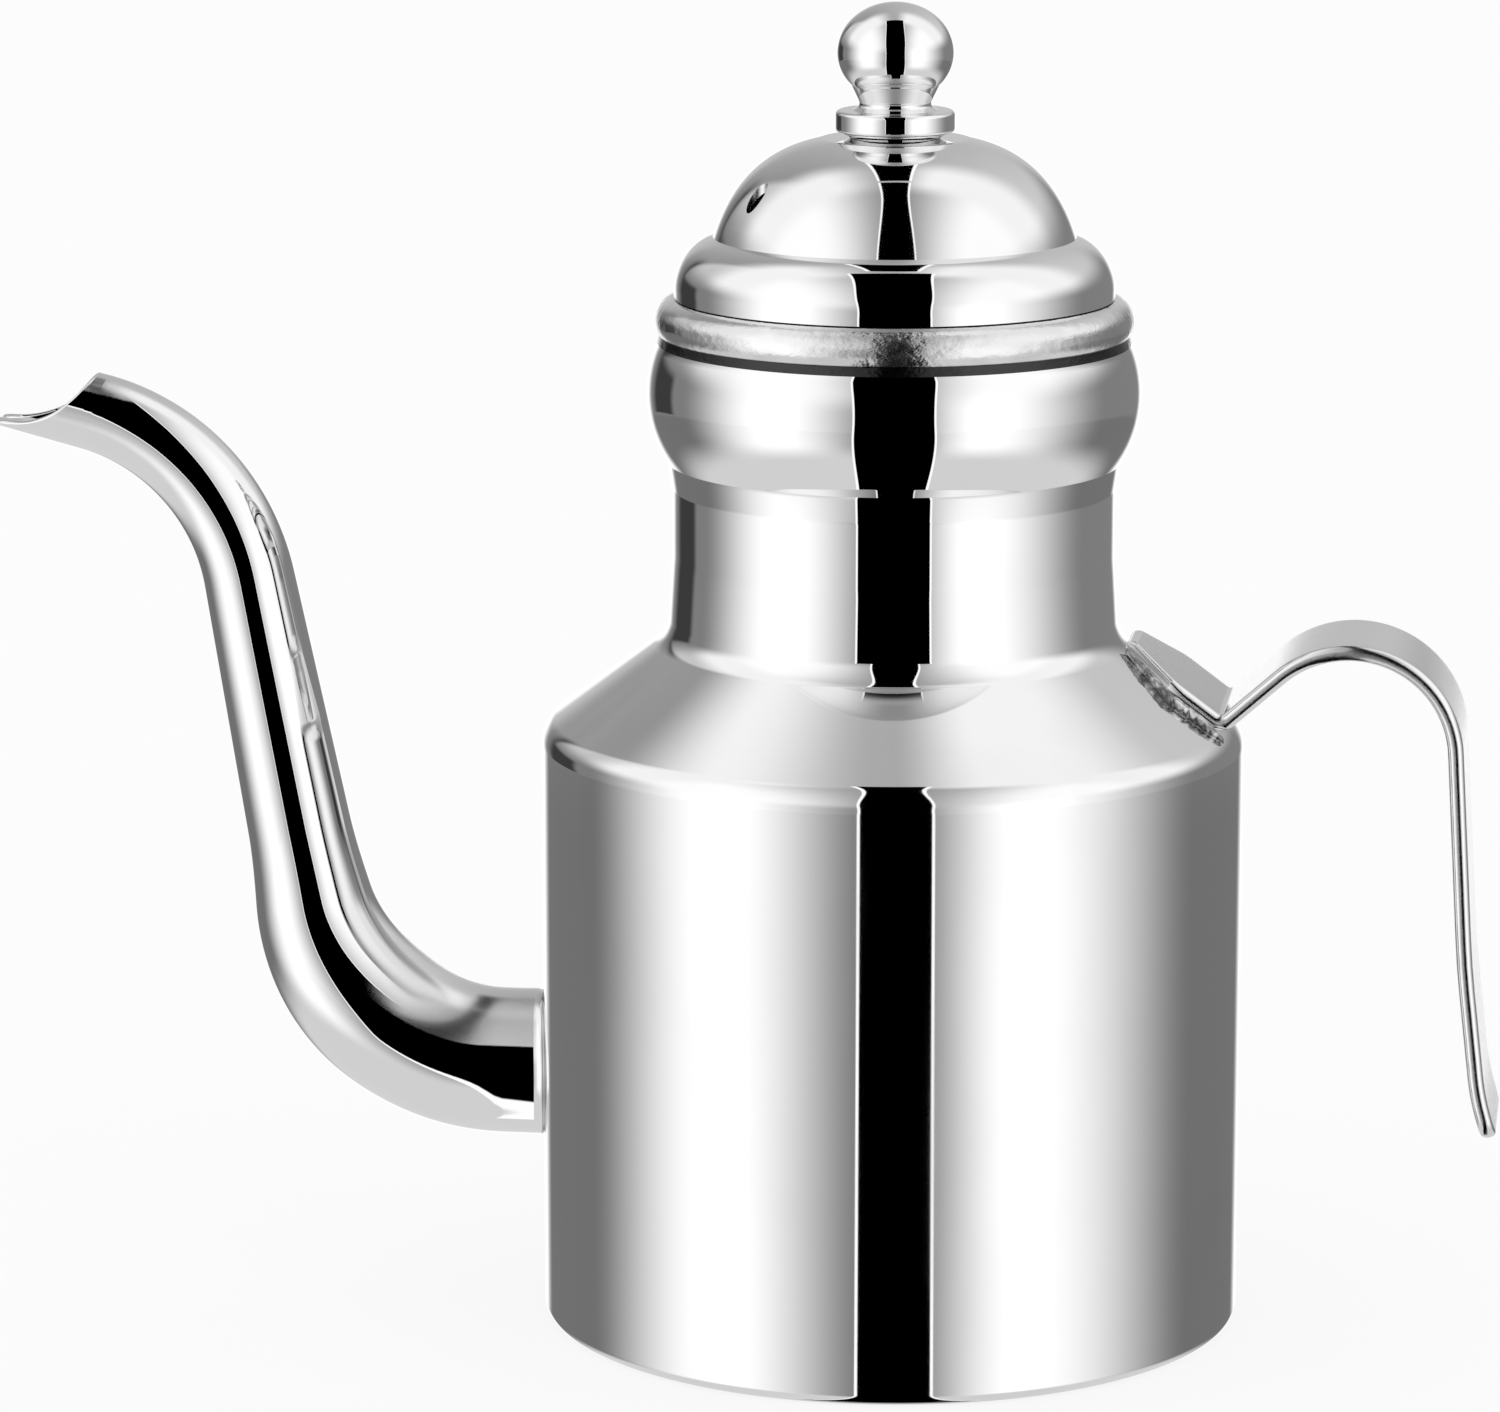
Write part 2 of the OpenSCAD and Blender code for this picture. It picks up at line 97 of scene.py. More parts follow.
STRIP_W = 19.0
STRIP_T = 2.0
STRIP_EDGE_R = 0.85
FOOT_TOP_W = 8.0
FOOT_TOP_X = NECK_FOOT_OUT + 1.6
FOOT_FLARE = 6.0
RISE_SLOPE = math.radians(41.7)
CREST_OUT = 25.64
CREST_R = 13.4
KNEE_Z = 50.0
KNEE_OUT = 3.3
KNEE_R = 120.0
TOE_Z = 33.0
TOE_OUT = 2.0
TOE_R = 30.0
CURL_H = 5.8
CURL_OUT = 1.7
STRIP_CORNER_R = 3.0
BEND_BACK = 3.4
BEAD_W = 1.5
BEAD_H = 1.6
BEAD_PITCH = 1.15
BEAD_LEAN = 0.28  # share of a pitch by which a ripple leans across the bead
BEAD_WANDER = 0.35  # share of a pitch by which the ripples stray along it

BAND_R = 28.0
BAND_H = 1.0
BAND_ROUND_R = 6.8
DOME_R = 24.0
DOME_H = 19.6
DOME_SIDE_POWER = 0.645
DOME_CROWN_POWER = 1.036
DOME_FOOT_TURN = math.radians(20.5)
SLEEVE_H = 10.0
SLEEVE_GAP = 0.35
SEAT_GAP = 0.1
VENT_R = 1.35
VENT_TURN = math.radians(217)
VENT_OUT = 19.9
VENT_REACH = 2.4  # the dome's rows this near the steam hole are drawn round it
BAND_Z = ROLL_Z + ROLL_R + SEAT_GAP
ROUND_Z = BAND_Z + BAND_H
BAND_SHINE_TOP_Z = ROUND_Z + BAND_ROUND_R * math.sin(math.radians(52))  # the band's mirror finish ends here
CROWN_Z = ROUND_Z + DOME_H - 0.5

BALL_R = 7.4
BALL_HALF_H = 6.4
BALL_SUNK = 0.72  # share of its half height by which the ball's middle stands over its neck
KNOB_NECK_R = 4.4
KNOB_NECK_FLARE = 1.2
KNOB_NECK_H = 2.6
FLANGE_R = 7.6
FLANGE_H = 2.7
SPACER_R = 6.9
SPACER_TAPER = 1.2
SPACER_H = 0.8
SCREW_R = 2.0
SCREW_SLACK = 0.05
SCREW_GRIP = 8.0
HOLE_SLACK = 0.25
FLANGE_Z = CROWN_Z + SPACER_H
KNOB_NECK_Z = FLANGE_Z + FLANGE_H
BALL_Z = KNOB_NECK_Z + KNOB_NECK_H + BALL_HALF_H * BALL_SUNK

# ---- How finely the surfaces are drawn ----

COLUMNS = 256
ARC_STEP = math.radians(2.5)
CREASE = math.cos(math.radians(18))
HOLE_RINGS = 7
ROOT_HOLE_ROWS, ROOT_HOLE_HALF_H, ROOT_HOLE_COLUMNS = 14, 14.0, 12
VENT_COLUMNS = 6
BASE_STEP = 6
SLEEVE_STEP = 1.5
DOME_ROWS = 44
BALL_ROWS = 64
TUBE_COLUMNS = 96
TUBE_STEP = 1.0
TUBE_MARGIN = 1.5
TUBE_ROOT_ROWS = 3
BEAK_ROWS = 33
LIP_ROWS = 9
BRIGHT_INSIDE_ROWS = 12
LIP_SEARCH, LIP_SEARCH_STEP = 32, 0.25
FILLET_ROWS = 9
STRIP_STEP = 1.0
STRIP_CORNER_POINTS = 8
BEAD_ROWS, BEAD_COLUMNS = 150, 20

# Places in a piece's list of finishes
OUTSIDE, INSIDE, BAND = 0, 1, 2

# ---- Section paths: lists of (distance from the axis, height) ----


def unit(v):
    return v / np.linalg.norm(v)


def left(v):
    return np.array([-v[1], v[0]])


def corner(a, b, c, r, share=0.48):
    """Points of the arc that rounds corner b between a and c"""
    a, b, c = (np.array(p, float) for p in (a, b, c))
    u, v = unit(b - a), unit(c - b)
    bend = math.atan2(u[0] * v[1] - u[1] * v[0], u @ v)
    if r <= 0 or abs(bend) < 0.01:
        return [b]
    reach = min(r * math.tan(abs(bend) / 2), share * min(np.linalg.norm(b - a), np.linalg.norm(c - b)))
    radius = reach / math.tan(abs(bend) / 2)
    centre = b - u * reach + left(u) * radius * math.copysign(1, bend)
    arm = b - u * reach - centre
    steps = max(2, math.ceil(abs(bend) / ARC_STEP))
    spots = []
    for i in range(steps + 1):
        c, s = math.cos(bend * i / steps), math.sin(bend * i / steps)
        spots.append(centre + [c * arm[0] - s * arm[1], s * arm[0] + c * arm[1]])
    return spots


def rounded(corners):
    """A path through corners (x, z, rounding). A fourth number is the share of the side that a bend may use."""
    spots = [np.array(corners[0][:2], float)]
    for a, b, c in zip(corners, corners[1:], corners[2:]):
        spots += corner(a[:2], b[:2], c[:2], *b[2:])
    return spots + [np.array(corners[-1][:2], float)]


def arc(centre, r, start, stop):
    """Points of an arc from one turn to another"""
    steps = max(2, math.ceil(abs(stop - start) / ARC_STEP))
    turns = np.linspace(start, stop, steps + 1)
    return [np.array(centre) + r * np.array([math.cos(q), math.sin(q)]) for q in turns]


def divided(path, step):
    """The same path with its long stretches divided"""
    spots = []
    for a, b in zip(path, path[1:]):
        k = max(1, round(np.linalg.norm(b - a) / step))
        spots += [a + (b - a) * i / k for i in range(k)]
    return spots + [path[-1]]


def beside(path, d):
    """The path moved sideways by d, to its left"""
    steps = [unit(b - a) for a, b in zip(path, path[1:])]
    moved = [path[0] + left(steps[0]) * d]
    for p, u, v in zip(path[1:], steps, steps[1:]):
        side = left(unit(u + v))
        moved.append(p + side * d / max(0.5, side @ left(u)))
    return moved + [path[-1] + left(steps[-1]) * d]


def sheet(path, thick=WALL):
    """Closed outline of a sheet whose face follows the path and whose metal lies to its left"""
    return list(path) + beside(path, thick)[::-1]


# ---- Surfaces ----


class Skin:
    """Points, faces and the normals at the faces' corners, gathered for one piece"""

    def __init__(self):
        self.points, self.faces, self.normals, self.finish = [], [], [], []

    def add(self, points):
        """Takes in points and returns their numbers"""
        first = len(self.points)
        self.points += [tuple(p) for p in points]
        return list(range(first, len(self.points)))

    def face(self, corners, normals, finish=OUTSIDE):
        kept = [i for i in range(len(corners)) if corners[i] != corners[i - 1]]
        if len(kept) > 2:
            self.faces.append([corners[i] for i in kept])
            self.normals += [normals[i] for i in kept]
            self.finish.append(finish)

    def cap(self, corners, finish=OUTSIDE):
        a, b, c = (np.array(self.points[corners[i]]) for i in (0, len(corners) // 3, 2 * len(corners) // 3))
        n = np.cross(b - a, c - a)
        self.face(corners, [n / max(np.linalg.norm(n), 1e-12)] * len(corners), finish)

    def grid(self, spots, closed=True, finish=None, windows=()):
        """Skins a grid of points, rows by columns, whose columns close on themselves"""
        spots = np.array(spots, float)
        step = np.roll(spots, -1, 0) - spots
        back = np.roll(step, 1, 0)
        if not closed:
            step[-1], back[0] = back[-1], step[0]
        long_step = np.linalg.norm(step, axis=2, keepdims=True)
        long_back = np.linalg.norm(back, axis=2, keepdims=True)
        ahead, behind = step / np.maximum(long_step, 1e-9), back / np.maximum(long_back, 1e-9)
        flow = (ahead * behind).sum(2)
        creased = (np.median(flow, 1) < CREASE)[:, None, None]
        mean = step + back
        across = np.roll(spots, -1, 1) - np.roll(spots, 1, 1)
        before = self.clean(np.cross(across, np.where(creased, behind, mean)))
        after = self.clean(np.cross(across, np.where(creased, ahead, mean)))
        rows = []
        for row in spots:
            point = np.ptp(row, axis=0).max() < 1e-7
            rows.append(self.add(row[:1]) * len(row) if point else self.add(row))
        count, columns = spots.shape[:2]
        for i in range(count if closed else count - 1):
            j = (i + 1) % count
            shine = finish[i] if finish else OUTSIDE
            for k in range(columns):
                if any(w[0] <= i < w[1] and w[2] <= k < w[3] for w in windows):
                    continue
                m = (k + 1) % columns
                self.face([rows[i][k], rows[i][m], rows[j][m], rows[j][k]],
                          [after[i, k], after[i, m], before[j, m], before[j, k]], shine)
        return rows

    @staticmethod
    def clean(normals):
        """Unit normals; a row that shrinks to one point takes the mean of its neighbours"""
        size = np.linalg.norm(normals, axis=2, keepdims=True)
        normals = normals / np.maximum(size, 1e-12)
        for i in np.nonzero(size[:, :, 0].max(1) < 1e-9)[0]:
            near = normals[i - 1] if i else normals[i + 1]
            if np.linalg.norm(near.sum(0)) < 1e-6:
                near = normals[(i + 1) % len(normals)]
            normals[i] = unit(near.sum(0))
        return normals

    def make(self, name, finishes, body, slot, *nodes):
        """The piece itself, which rides on its body and takes the place of the named nodes"""
        mesh = bpy.data.meshes.new(name)
        mesh.from_pydata([[c * MM for c in p] for p in self.points], [], self.faces)
        for finish in finishes:
            mesh.materials.append(finish)
        mesh.polygons.foreach_set("use_smooth", [True] * len(self.faces))
        mesh.polygons.foreach_set("material_index", self.finish)
        mesh.normals_split_custom_set([tuple(n) for n in self.normals])
        piece = bpy.data.objects.new(name, mesh)
        bpy.context.scene.collection.objects.link(piece)
        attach(piece, body)
        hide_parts(*nodes)
        return piece


def turned(outline, columns=COLUMNS):
    """The grid that a section outline sweeps about the axis"""
    turns = 2 * math.pi * np.arange(columns) / columns
    r, z = np.array(outline)[:, :1], np.array(outline)[:, 1:]
    return np.stack([r * np.cos(turns), r * np.sin(turns), z + 0 * turns], axis=2)


def lathe(outline, finish=None):
    """The skin of an outline turned about the axis"""
    skin = Skin()
    skin.grid(turned(outline), finish=finish)
    return skin


def pierced(path, first, last, left_column, right_column, flat, lift, edge, band_rows=0):
    """A turned sheet with a hole. flat maps a surface point to the plane that the hole is drawn in, lift maps
    it back to a point and normal of one face of the sheet, and edge gives the nearest point of the hole's rim.
    The first band_rows rows take the band's finish."""
    outline = sheet(path)
    spots = turned(outline)
    count = len(outline)
    skin = Skin()
    finish = [BAND] * band_rows + [OUTSIDE] * (len(path) - 1 - band_rows) + [INSIDE] * (count - len(path) + 1)
    faces = [(first, last), (count - 1 - last, count - 1 - first)]
    rows = skin.grid(spots, finish=finish, windows=[(a, b, left_column, right_column) for a, b in faces])
    rims = []
    for shine, (a, b) in enumerate(faces):
        walk = [(a, k) for k in range(left_column, right_column)]
        walk += [(i, right_column) for i in range(a, b)]
        walk += [(b, k) for k in range(right_column, left_column, -1)]
        walk += [(i, left_column) for i in range(b, a, -1)]
        paired = [i if shine == OUTSIDE else count - 1 - i for i, _ in walk]
        own = [flat(spots[i, k]) for i, k in walk]
        hole = [edge(flat(spots[i, k])) for i, (_, k) in zip(paired, walk)]
        ring = [rows[i][k] for i, k in walk]
        normals = [lift(q, outline, a, b)[1] for q in own]
        for t in np.arange(1, HOLE_RINGS + 1) / HOLE_RINGS:
            lifted = [lift(q * (1 - t) + h * t, outline, a, b) for q, h in zip(own, hole)]
            inner = skin.add([p for p, n in lifted])
            inner_normals = [n for p, n in lifted]
            for i in range(len(walk)):
                j = (i + 1) % len(walk)
                skin.face([ring[i], ring[j], inner[j], inner[i]],
                          [normals[i], normals[j], inner_normals[j], inner_normals[i]], shine)
            ring, normals = inner, inner_normals
        rims.append({(i, k): p for i, (_, k), p in zip(paired, walk, ring)})
    keys = list(rims[0])
    for a, b in zip(keys, keys[1:] + keys[:1]):
        skin.cap([rims[0][a], rims[0][b], rims[1][b], rims[1][a]], INSIDE)
    return skin


def face_spot(outline, a, b, u, turn):
    """Point and normal of a turned face at the real row number u"""
    i = min(max(int(u), a), b - 1)
    p = outline[i] + (outline[i + 1] - outline[i]) * (u - i)

    def slant(k):
        d = outline[min(k + 1, b)] - outline[max(k - 1, a)]
        return unit(np.array([d[1], -d[0]]))
    n = slant(i) * (1 - (u - i)) + slant(i + 1) * (u - i)
    c, s = math.cos(turn), math.sin(turn)
    return np.array([p[0] * c, p[0] * s, p[1]]), unit(np.array([n[0] * c, n[0] * s, n[1]]))


# ---- Shader writing ----


class Value:
    """A socket that takes part in arithmetic"""

    def __init__(self, graph, socket):
        self.graph, self.socket = graph, socket

    def maths(self, operation, *others, swap=False):
        values = [self, *others]
        if swap:
            values.reverse()
        return self.graph.add("Math", {"operation": operation}, dict(enumerate(values)))

    def __add__(self, other):
        return self.maths("ADD", other)

    def __sub__(self, other):
        return self.maths("SUBTRACT", other)

    def __rsub__(self, other):
        return self.maths("SUBTRACT", other, swap=True)

    def __mul__(self, other):
        return self.maths("MULTIPLY", other)

    def __neg__(self):
        return self * -1

    def __abs__(self):
        return self.maths("ABSOLUTE")

    __radd__, __rmul__ = __add__, __mul__

    def smooth(self, start, stop, low=0, high=1):
        """low up to start, high from stop on, and a soft change between them"""
        ends = {"From Min": start, "From Max": stop, "To Min": low, "To Max": high}
        return self.graph.add("MapRange", {"interpolation_type": "SMOOTHSTEP"}, {"Value": self, **ends})

    def fading(self, start, stop):
        """1 up to start, 0 from stop on"""
        return self.smooth(start, stop, 1, 0)

    def between(self, start, full, fade, stop):
        """0 outside start and stop, 1 from full to fade"""
        return self.smooth(start, full) * self.fading(fade, stop)

    def toward(self, other, share):
        """This value, moved toward the other by a share of the way"""
        return self + (other - self) * share

    def at_least(self, other):
        return self.maths("MAXIMUM", other)


class Graph:
    """The nodes of one material or of the world"""

    def __init__(self, owner):
        owner.use_nodes = True
        self.tree = owner.node_tree
        self.tree.nodes.clear()

    def add(self, kind, settings=None, inputs=None, output=0):
        """A new node with its settings and its sockets' values or links. Returns one of its outputs."""
        node = self.tree.nodes.new("ShaderNode" + kind)
        for name, setting in (settings or {}).items():
            setattr(node, name, setting)
        for name, value in (inputs or {}).items():
            socket = node.inputs[name]
            if isinstance(value, Value):
                self.tree.links.new(value.socket, socket)
            else:
                socket.default_value = value
        return Value(self, node.outputs[output]) if node.outputs else None

    def blend(self, factor, first, second):
        return self.add("Mix", {"data_type": "RGBA"}, {0: factor, 6: first, 7: second}, output=2)

    def parts(self, vector):
        node = self.add("SeparateXYZ", inputs={"Vector": vector}).socket.node
        return [Value(self, socket) for socket in node.outputs]

    def speckle(self, vector, scale, detail=2.0, roughness=0.5):
        return self.add("TexNoise", inputs={"Vector": vector, "Scale": scale, "Detail": detail,
                                            "Roughness": roughness})

    def stretched(self, vector, x, y, z):
        return self.add("VectorMath", {"operation": "MULTIPLY"}, {0: vector, 1: (x, y, z)})

    def metal(self, shade, roughness, bump=None, strength=0.0, distance=0.0):
        inputs = {"Base Color": shade, "Roughness": roughness, "Metallic": 1.0}
        if bump is not None:
            inputs["Normal"] = self.add("Bump", inputs={"Height": bump, "Strength": strength,
                                                        "Distance": distance * MM})
        return self.add("BsdfPrincipled", inputs=inputs)

    def finish(self, surface):
        self.add("OutputMaterial", inputs={"Surface": surface})


def blank_finish(name):
    """A blank finish, its graph, and the place on the piece that its patterns are drawn by"""
    finish = bpy.data.materials.new(name)
    graph = Graph(finish)
    return finish, graph, graph.add("TexCoord", output="Object")


BRIGHT_STEEL = (0.83, 0.83, 0.83, 1)
WIPED_STEEL = (0.80, 0.80, 0.80, 1)
DRAWN_STEEL = (0.79, 0.79, 0.79, 1)
BELT_STEEL = (0.76, 0.76, 0.765, 1)
SHADED_STEEL = (0.72, 0.72, 0.725, 1)
BRIGHT_WELD = (0.74, 0.74, 0.74, 1)
DARK_WELD = (0.22, 0.22, 0.22, 1)
# Painted shade: the dark colour laid into the crease under the roll, where shade falls
CREASE_PAINTED_SHADE = (0.05, 0.05, 0.05, 1)

POLISHED_HAZE = 0.02
MIRROR_HAZE = 0.0012
BUFFED_HAZE = 0.2

# The corners of the spout's path
LOW_CORNER = (-BODY_R - LOW_CORNER_OUT, SPOUT_ROOT_Z)
HIGH_CORNER = (LOW_CORNER[0] - (HIGH_CORNER_Z - SPOUT_ROOT_Z) * math.tan(RISER_LEAN), HIGH_CORNER_Z)

# The softly buffed top of the spout's root lies above a line that climbs toward the riser
BUFFED_ROOT_Z = 35.0
BUFFED_ROOT_CLIMBS_FROM = 52.0
BUFFED_ROOT_CLIMB = 0.026
BUFFED_ROOT_ENDS = (62, 68)

# The softly buffed top of the beak lies this high above its middle line, and starts this far out
BUFFED_BEAK_UP = (3.2, 3.5)
BUFFED_BEAK_STARTS = (94, 100)


def wiped(g, place):
    """The faint smears of wiping over bright steel: how strong they are, and its colour"""
    smear = g.speckle(g.stretched(place, 60, 60, 25), 1.0, 3.0).smooth(0.45, 0.75)
    return smear, g.blend(smear, BRIGHT_STEEL, WIPED_STEEL)


def polished_steel(name, haze):
    """Mirror finish with the faintest haze of wiped smears and fine polishing rings, and shade painted into the
    crease under the roll
    """
    finish, g, place = blank_finish(name)
    smear, color = wiped(g, place)
    rings = g.speckle(g.stretched(place, 300, 300, 9000), 1.0, 2.0)
    _, _, z = g.parts(place)
    # Painted shade: the colour darkens along the crease under the roll
    crease_shade = abs(z - ROLL_CREASE_Z * MM).fading(0.05 * MM, 0.2 * MM)
    g.finish(g.metal(g.blend(crease_shade, color, CREASE_PAINTED_SHADE), haze * (1 + smear + rings * 0.5)))
    return finish


def spout_steel():
    """Mirror finish, buffed softer along the top of the beak and of the root"""
    finish, g, place = blank_finish("spout_steel")
    smear, color = wiped(g, place)
    x, _, z = g.parts(place)
    out = -x
    climb = (out - BUFFED_ROOT_CLIMBS_FROM * MM).at_least(0)
    above_root = z - BUFFED_ROOT_CLIMB / MM * climb * climb
    root_top = above_root.smooth(BUFFED_ROOT_Z * MM, (BUFFED_ROOT_Z + 0.2) * MM)
    root_top = root_top * out.fading(*(end * MM for end in BUFFED_ROOT_ENDS))
    above_beak = z - (HIGH_CORNER[1] * MM + (HIGH_CORNER[0] * MM + out) * math.tan(TIP_SLOPE))
    beak_top = above_beak.smooth(*(up * MM for up in BUFFED_BEAK_UP))
    beak_top = beak_top * out.smooth(*(start * MM for start in BUFFED_BEAK_STARTS))
    bright, soft = (g.metal(color, haze * (1 + smear)) for haze in (MIRROR_HAZE, BUFFED_HAZE))
    g.finish(g.add("MixShader", inputs={0: root_top.at_least(beak_top), 1: bright, 2: soft}))
    return finish


def rim_steel():
    """The rolled rim: less polished, with the mottling that rolling leaves, and shade painted into the crease
    at its foot
    """
    finish, g, place = blank_finish("rim_steel")
    mottle = g.speckle(g.stretched(place, 420, 420, 700), 1.0, 3.0, 0.6)
    patches = g.speckle(g.stretched(place, 130, 130, 300), 1.0, 2.0).smooth(0.35, 0.7)
    _, _, z = g.parts(place)
    # Painted shade: the colour darkens toward the crease at the roll's foot
    crease_shade = (z - ROLL_CREASE_Z * MM).fading(0.05 * MM, 0.25 * MM)
    color = g.blend(patches, SHADED_STEEL, BRIGHT_STEEL)
    g.finish(g.metal(g.blend(crease_shade, color, CREASE_PAINTED_SHADE), 0.1 + mottle * 0.14,
                     bump=mottle, strength=0.45, distance=0.25))
    return finish


def satin_steel():
    """The inside faces and the underside: drawn sheet with soft turning rings"""
    finish, g, place = blank_finish("satin_steel")
    rings = g.speckle(g.stretched(place, 800, 800, 8000), 1.0, 3.0)
    cloud = g.speckle(place, 70.0, 3.0)
    color = g.blend(cloud, SHADED_STEEL, DRAWN_STEEL)
    g.finish(g.metal(color, 0.2 + rings * 0.12, bump=rings, strength=0.3, distance=0.04))
    return finish


def strip_steel():
    """The handle's strip: polished by belt along its length, so that reflections smear"""
    finish, g, place = blank_finish("strip_steel")
    grain = g.speckle(g.stretched(place, 500, 9000, 500), 1.0, 3.0, 0.6)
    cloud = g.speckle(place, 90.0, 3.0)
    color = g.blend(cloud, BELT_STEEL, BRIGHT_STEEL)
    g.finish(g.metal(color, 0.1 + grain * 0.1, bump=grain, strength=0.25, distance=0.03))
    return finish


def weld_steel():
    """The weld beads: rippled, with bright metal and dark oxide in random patches"""
    finish, g, place = blank_finish("weld_steel")
    grit = g.speckle(place, 1800.0, 4.0, 0.7)
    patches = g.speckle(place, 520.0, 3.0).smooth(0.4, 0.62)
    color = g.blend(patches, DARK_WELD, BRIGHT_WELD)
    g.finish(g.metal(color, 0.14 + grit * 0.2, bump=grit, strength=0.5, distance=0.1))
    return finish


polished = polished_steel("polished_steel", POLISHED_HAZE)
mirror = polished_steel("mirror_steel", MIRROR_HAZE)
spout_mirror = spout_steel()
rim = rim_steel()
satin = satin_steel()
strip = strip_steel()
weld = weld_steel()

# ---- Pot ----

# The wall has a round hole where the spout opens into it, and closer rows round that hole
hole_rows = np.linspace(SPOUT_ROOT_Z - ROOT_HOLE_HALF_H, SPOUT_ROOT_Z + ROOT_HOLE_HALF_H, ROOT_HOLE_ROWS + 1)
rows_below, rows_above = [BASE_RIM_H, 9], [54, 63, WALL_TOP_Z]
wall_path = [np.array([BODY_R, z]) for z in [*rows_below, *hole_rows, *rows_above]]


def wall_flat(p):
    return np.array([p[1], p[2]])


def wall_lift(q, outline, a, _):
    r = outline[a][0]
    turn = math.pi - math.asin(q[0] / r)
    c, s = math.cos(turn), math.sin(turn)
    facing = 1 if r > BODY_R - WALL / 2 else -1
    return np.array([r * c, q[0], q[1]]), np.array([facing * c, facing * s, 0])


def wall_edge(q):
    turn = math.atan2(q[1] - SPOUT_ROOT_Z, q[0])
    return np.array([SPOUT_ROOT_R * math.cos(turn), SPOUT_ROOT_Z + SPOUT_ROOT_R * math.sin(turn)])


first_row, root_column = len(rows_below), COLUMNS // 2
pot_wall = pierced(wall_path, first_row, first_row + ROOT_HOLE_ROWS,
                   root_column - ROOT_HOLE_COLUMNS, root_column + ROOT_HOLE_COLUMNS,
                   wall_flat, wall_lift, wall_edge)
pot_wall.make("wall_shell", [polished, satin], "pot", "polished_steel", "pot_wall")

base_path = divided(rounded([
    (0, 0), (GROOVE_R - GROOVE_W / 2, 0, GROOVE_BEND_R), (GROOVE_R - GROOVE_W / 4, GROOVE_D, GROOVE_BEND_R),
    (GROOVE_R + GROOVE_W / 4, GROOVE_D, GROOVE_BEND_R), (GROOVE_R + GROOVE_W / 2, 0, GROOVE_BEND_R),
    (BODY_R, 0, BASE_EDGE_R), (BODY_R, BASE_RIM_H)]), BASE_STEP)
base_outline = sheet(base_path)
base_finish = [INSIDE if p[0] < BODY_R - BASE_EDGE_R else OUTSIDE for p in base_path[:-1]]
base_finish += [INSIDE] * (len(base_outline) - len(base_finish))
lathe(base_outline, base_finish).make("base_cup", [polished, satin], "pot", "polished_steel", "pot_base")

collar_centre = (COLLAR_R - COLLAR_BULGE_R, COLLAR_MID_Z)
collar_low, collar_high = COLLAR_Z - COLLAR_MID_Z, COLLAR_Z + COLLAR_H - COLLAR_MID_Z
collar_foot_r = collar_centre[0] + math.sqrt(COLLAR_BULGE_R ** 2 - collar_low ** 2)
neck_path = rounded([
    (BODY_R, WALL_TOP_Z), (BODY_R, SHOULDER_Z, SHOULDER_EDGE_R), (NECK_FOOT_OUT, NECK_FOOT_Z, NECK_FOOT_R),
    (NECK_R, NECK_WAIST_Z, NECK_H), (NECK_R, NECK_WIDENS_Z, 2),
    (collar_foot_r - 0.1, COLLAR_Z - 0.4)])
neck_path += arc(collar_centre, COLLAR_BULGE_R, math.asin(collar_low / COLLAR_BULGE_R),
                 math.asin(collar_high / COLLAR_BULGE_R))
roll_from = len(neck_path)
neck_path += arc((ROLL_CENTRE_R, ROLL_Z), ROLL_R, ROLL_CREASE_TURN, math.pi)
neck_outline = sheet(neck_path)
ROLL, COLLAR = 2, 3
cone_rows = sum(1 for p in neck_path if p[1] < CONE_SHINE_TOP_Z)
neck_finish = [OUTSIDE] * cone_rows + [COLLAR] * (roll_from - 1 - cone_rows)
neck_finish += [ROLL] * (len(neck_path) - roll_from)
neck_finish += [INSIDE] * (len(neck_outline) - len(neck_finish))
lathe(neck_outline, neck_finish).make("shoulder_and_collar", [polished, satin, rim, mirror], "pot",
                                      "polished_steel", "shoulder_and_neck")

# ---- Spout ----

tip_x = -BODY_R - TIP_OUT
tip_end = (tip_x, HIGH_CORNER_Z + (HIGH_CORNER[0] - tip_x) * math.tan(TIP_SLOPE))
spout_path = np.array(divided(rounded([
    (-BODY_R + 2 * SPOUT_ROOT_R, SPOUT_ROOT_Z), (*LOW_CORNER, LOW_BEND_R),
    (*HIGH_CORNER, HIGH_BEND_R, UPPER_BEND_SHARE), tip_end]), TUBE_STEP))
spout_run = np.concatenate([[0], np.cumsum(np.linalg.norm(np.diff(spout_path, axis=0), axis=1))])
SPOUT_LEN = spout_run[-1]
TAPER_FROM, TAPER_TO = SPOUT_LEN * 0.28, SPOUT_LEN * 0.48


def tube_r(s):
    """The tube's radius: wide along the root, then narrowing quickly, and slowly from there to the tip"""
    k = np.clip((s - TAPER_FROM) / (TAPER_TO - TAPER_FROM), 0, 1)
    k = k * k * (3 - 2 * k)
    slow = SPOUT_MID_R + (SPOUT_TIP_R - SPOUT_MID_R) * (s - TAPER_TO) / (SPOUT_LEN - TAPER_TO)
    return SPOUT_ROOT_R * (1 - k) + slow * k


spout_heading = np.gradient(spout_path, spout_run, axis=0)
spout_heading /= np.linalg.norm(spout_heading, axis=1, keepdims=True)


def tube_spot(s, turn, less):
    """Point of the tube's surface at the distance s along it, sunk by less under the outer one"""
    centre = [np.interp(s, spout_run, spout_path[:, i]) for i in (0, 1)]
    h = unit(np.array([np.interp(s, spout_run, spout_heading[:, i]) for i in (0, 1)]))
    r = tube_r(s) - less
    across = r * math.cos(turn)
    return np.array([centre[0] - h[1] * across, r * math.sin(turn), centre[1] + h[0] * across])


scoop_x = tip_x + SCOOP_BACK
scoop_z = tip_end[1] - SPOUT_TIP_R / math.cos(TIP_SLOPE) + SCOOP_LIFT + SCOOP_R


